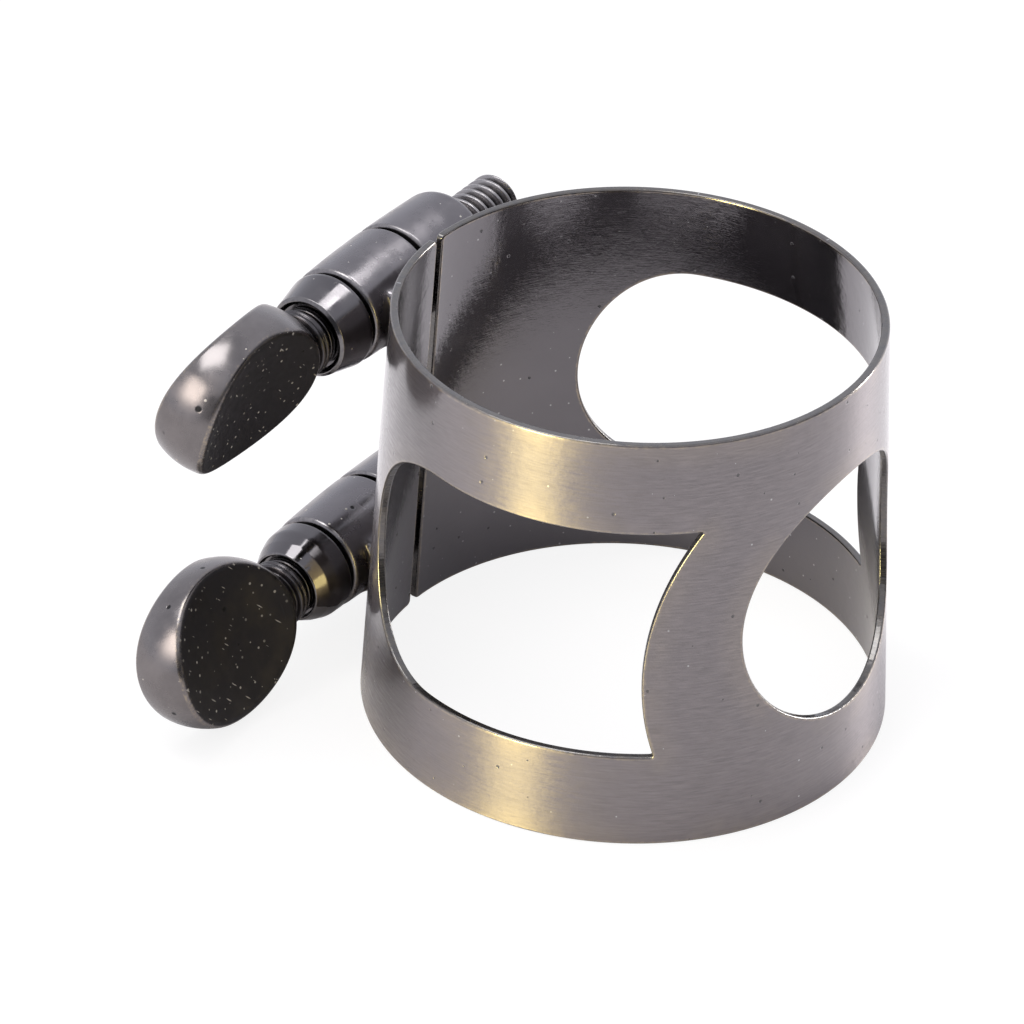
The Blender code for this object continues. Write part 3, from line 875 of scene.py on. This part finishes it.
# Softboxes: azimuth, elevation, distance in m, size in m, power in W, colour, and what they light
WHITE = (1.0, 1.0, 1.0)
WARM = (1.0, 0.87, 0.34)
BEIGE = (1.0, 0.90, 0.80)
PANELS = {
    "top_box": (120.0, 72.0, 0.6, (0.3, 0.3), 1.5, WHITE, "everything"),
    "warm_box": (169.0, 10.0, 0.5, (0.15, 0.22), 3.7, WARM, "band"),
    "side_box": (325.0, 8.0, 0.5, (0.1, 0.22), 1.5, WHITE, "band"),
    "beige_box": (160.0, 32.0, 0.5, (0.26, 0.24), 1.1, BEIGE, "heads"),
    "back_box": (352.0, 62.0, 0.5, (0.2, 0.14), 0.9, WHITE, "turned"),
}

# The camera: where it stands round the middle of the band, and how it is then turned, in degrees
MIDDLE = Vector((0, 0, 0.012))
CAMERA_AZIMUTH = -59.0
CAMERA_ELEVATION = 33.36
CAMERA_DISTANCE = 0.2819
CAMERA_PAN = 1.29
CAMERA_TILT = -0.16
CAMERA_ROLL = -2.64
CAMERA_LENS = 185.3


def floor_finish():
    """A pale sheet that looks evenly white, with its shadows softened, and reflects as plain paper."""
    material = bpy.data.materials.new("pale_floor")
    material.use_nodes = True
    tree = material.node_tree
    shader = tree.nodes["Principled BSDF"]
    shader.inputs["Base Color"].default_value = FLOOR_COLOUR
    shader.inputs["Roughness"].default_value = 0.9
    glow = tree.nodes.new("ShaderNodeEmission")
    glow.inputs["Strength"].default_value = FLOOR_GLOW_STRENGTH
    path = tree.nodes.new("ShaderNodeLightPath")
    share = tree.nodes.new("ShaderNodeMath")
    share.operation = "MULTIPLY"
    share.inputs[1].default_value = FLOOR_GLOW
    tree.links.new(path.outputs["Is Camera Ray"], share.inputs[0])
    mix = tree.nodes.new("ShaderNodeMixShader")
    tree.links.new(share.outputs[0], mix.inputs[0])
    tree.links.new(shader.outputs[0], mix.inputs[1])
    tree.links.new(glow.outputs[0], mix.inputs[2])
    tree.links.new(mix.outputs[0], tree.nodes["Material Output"].inputs["Surface"])
    return material


def add_floor():
    mesh = bpy.data.meshes.new("floor")
    half = FLOOR_HALF
    corners = [(-half, -half, 0), (half, -half, 0), (half, half, 0), (-half, half, 0)]
    mesh.from_pydata(corners, [], [(0, 1, 2, 3)])
    floor = bpy.data.objects.new("floor", mesh)
    bpy.context.scene.collection.objects.link(floor)
    mesh.materials.append(floor_finish())
    floor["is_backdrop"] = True
    return floor


def add_panel(name, azimuth, elevation, distance, size, power, colour, target):
    """A rectangular softbox that looks at the target."""
    data = bpy.data.lights.new(name, "AREA")
    data.shape = "RECTANGLE"
    data.size, data.size_y = size
    data.energy = power
    data.color = colour
    panel = bpy.data.objects.new(name, data)
    bpy.context.scene.collection.objects.link(panel)
    azimuth = math.radians(azimuth)
    elevation = math.radians(elevation)
    level = math.cos(elevation)
    way = Vector((math.cos(azimuth) * level, math.sin(azimuth) * level, math.sin(elevation)))
    panel.location = target + way * distance
    panel.rotation_euler = way.to_track_quat("Z", "Y").to_euler()
    panel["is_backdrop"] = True
    return panel


def lit_only(panel, objects):
    """Let the panel light, and show in, only these objects."""
    chosen = bpy.data.collections.new(panel.name + "_lights")
    for lit in objects:
        chosen.objects.link(lit)
    panel.light_linking.receiver_collection = chosen


def smooth_range(tree, value, low, high, to_low, to_high):
    node = tree.nodes.new("ShaderNodeMapRange")
    node.interpolation_type = "SMOOTHSTEP"
    for name, number in (("From Min", low), ("From Max", high), ("To Min", to_low), ("To Max", to_high)):
        node.inputs[name].default_value = number
    tree.links.new(value, node.inputs["Value"])
    return node.outputs[0]


def add_world():
    world = bpy.data.worlds.new("studio")
    world.use_nodes = True
    tree = world.node_tree
    background = tree.nodes["Background"]
    direction = tree.nodes.new("ShaderNodeTexCoord")
    split = tree.nodes.new("ShaderNodeSeparateXYZ")
    tree.links.new(direction.outputs["Generated"], split.inputs[0])
    ramp = tree.nodes.new("ShaderNodeValToRGB")
    place = tree.nodes.new("ShaderNodeMapRange")
    place.inputs["From Min"].default_value = -1.0
    place.inputs["From Max"].default_value = 1.0
    tree.links.new(split.outputs[2], place.inputs["Value"])
    tree.links.new(place.outputs[0], ramp.inputs[0])
    elements = ramp.color_ramp.elements
    for element, (position, level) in zip(elements, (ROOM_LEVELS[0], ROOM_LEVELS[-1])):
        element.position = position
        element.color = grey(level, ROOM_TINT)
    for position, level in ROOM_LEVELS[1:-1]:
        elements.new(position).color = grey(level, ROOM_TINT)
    tree.links.new(ramp.outputs[0], background.inputs["Color"])
    side = tree.nodes.new("ShaderNodeVectorMath")
    side.operation = "DOT_PRODUCT"
    tree.links.new(direction.outputs["Generated"], side.inputs[0])
    dark_way = math.radians(DARK_SIDE)
    side.inputs[1].default_value = (math.cos(dark_way), math.sin(dark_way), 0)
    beside = smooth_range(tree, side.outputs["Value"], 0.1, 0.6, 0.0, 1.0)
    below = smooth_range(tree, split.outputs[2], 0.48, 0.72, 1.0, 0.0)
    dark = tree.nodes.new("ShaderNodeMath")
    dark.operation = "MULTIPLY"
    tree.links.new(beside, dark.inputs[0])
    tree.links.new(below, dark.inputs[1])
    strength = smooth_range(tree, dark.outputs[0], 0.0, 1.0, ROOM_STRENGTH, DARK_STRENGTH)
    tree.links.new(strength, background.inputs["Strength"])
    bpy.context.scene.world = world


def turned_by(vector, axis, degrees):
    return Matrix.Rotation(math.radians(degrees), 3, axis) @ vector


def add_camera():
    azimuth = math.radians(CAMERA_AZIMUTH)
    elevation = math.radians(CAMERA_ELEVATION)
    back = Vector((
        math.sin(azimuth) * math.cos(elevation), -math.cos(azimuth) * math.cos(elevation),
        math.sin(elevation),
    ))
    place = MIDDLE + back * CAMERA_DISTANCE
    forward = -back
    right = forward.cross(Vector((0, 0, 1))).normalized()
    up = right.cross(forward)
    forward, right = turned_by(forward, up, CAMERA_PAN), turned_by(right, up, CAMERA_PAN)
    forward, up = turned_by(forward, right, CAMERA_TILT), turned_by(up, right, CAMERA_TILT)
    right, up = turned_by(right, forward, CAMERA_ROLL), turned_by(up, forward, CAMERA_ROLL)
    data = bpy.data.cameras.new("camera")
    data.lens = CAMERA_LENS
    data.sensor_width = 36
    data.clip_start = 0.01
    camera = bpy.data.objects.new("camera", data)
    camera.matrix_world = Matrix((
        (right.x, up.x, -forward.x, place.x),
        (right.y, up.y, -forward.y, place.y),
        (right.z, up.z, -forward.z, place.z),
        (0, 0, 0, 1),
    ))
    bpy.context.scene.collection.objects.link(camera)
    bpy.context.scene.camera = camera
    camera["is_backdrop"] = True


def main():
    fine_band(band_finish())
    barrel_metal = polished_finish(
        "barrel_gunmetal", grey(0.135, (1.0, 0.94, 0.98)), grey(0.2, (1.0, 0.94, 0.98)), 0.2, 0.5, 0.5,
        grey(0.3, (1.0, 0.95, 0.92)),
    )
    bell_metal = polished_finish(
        "bell_gunmetal", grey(0.105, (1.0, 0.94, 0.98)), grey(0.15, (1.0, 0.95, 0.98)), 0.09, 0.4, 0.3,
        grey(0.3, (1.0, 0.95, 0.92)),
    )
    # The last colour darkens the faces, partly as their own finish and partly as painted shade, and
    # darkens the neck as painted shade.
    head_metal = polished_finish(
        "head_gunmetal", grey(0.11, (1.0, 0.92, 0.92)), grey(0.24, (1.0, 0.92, 0.9)), 0.19, 0.7, 0.6,
        BRASS, grey(0.048, (1.0, 0.96, 1.04)),
    )
    thread_metal = thread_finish()
    for clamp in CLAMPS:
        for side in ("near", "far"):
            fine_barrel(clamp, side, barrel_metal)
        fine_bell(clamp, bell_metal)
        fine_head(clamp, head_metal)
        fine_rod(clamp, thread_metal)
    add_floor()
    add_world()
    band = bpy.data.objects["band_fine"]
    heads = [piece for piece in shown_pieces() if "thumb_head" in piece.name]
    groups = {
        "band": [band], "heads": heads,
        "turned": [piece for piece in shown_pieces() if piece is not band and piece not in heads],
    }
    for name, (azimuth, elevation, distance, size, power, colour, lit) in PANELS.items():
        panel = add_panel(name, azimuth, elevation, distance, size, power, colour, MIDDLE)
        if lit in groups:
            lit_only(panel, groups[lit])
    add_camera()
    bpy.context.scene.view_settings.view_transform = "Standard"


main()
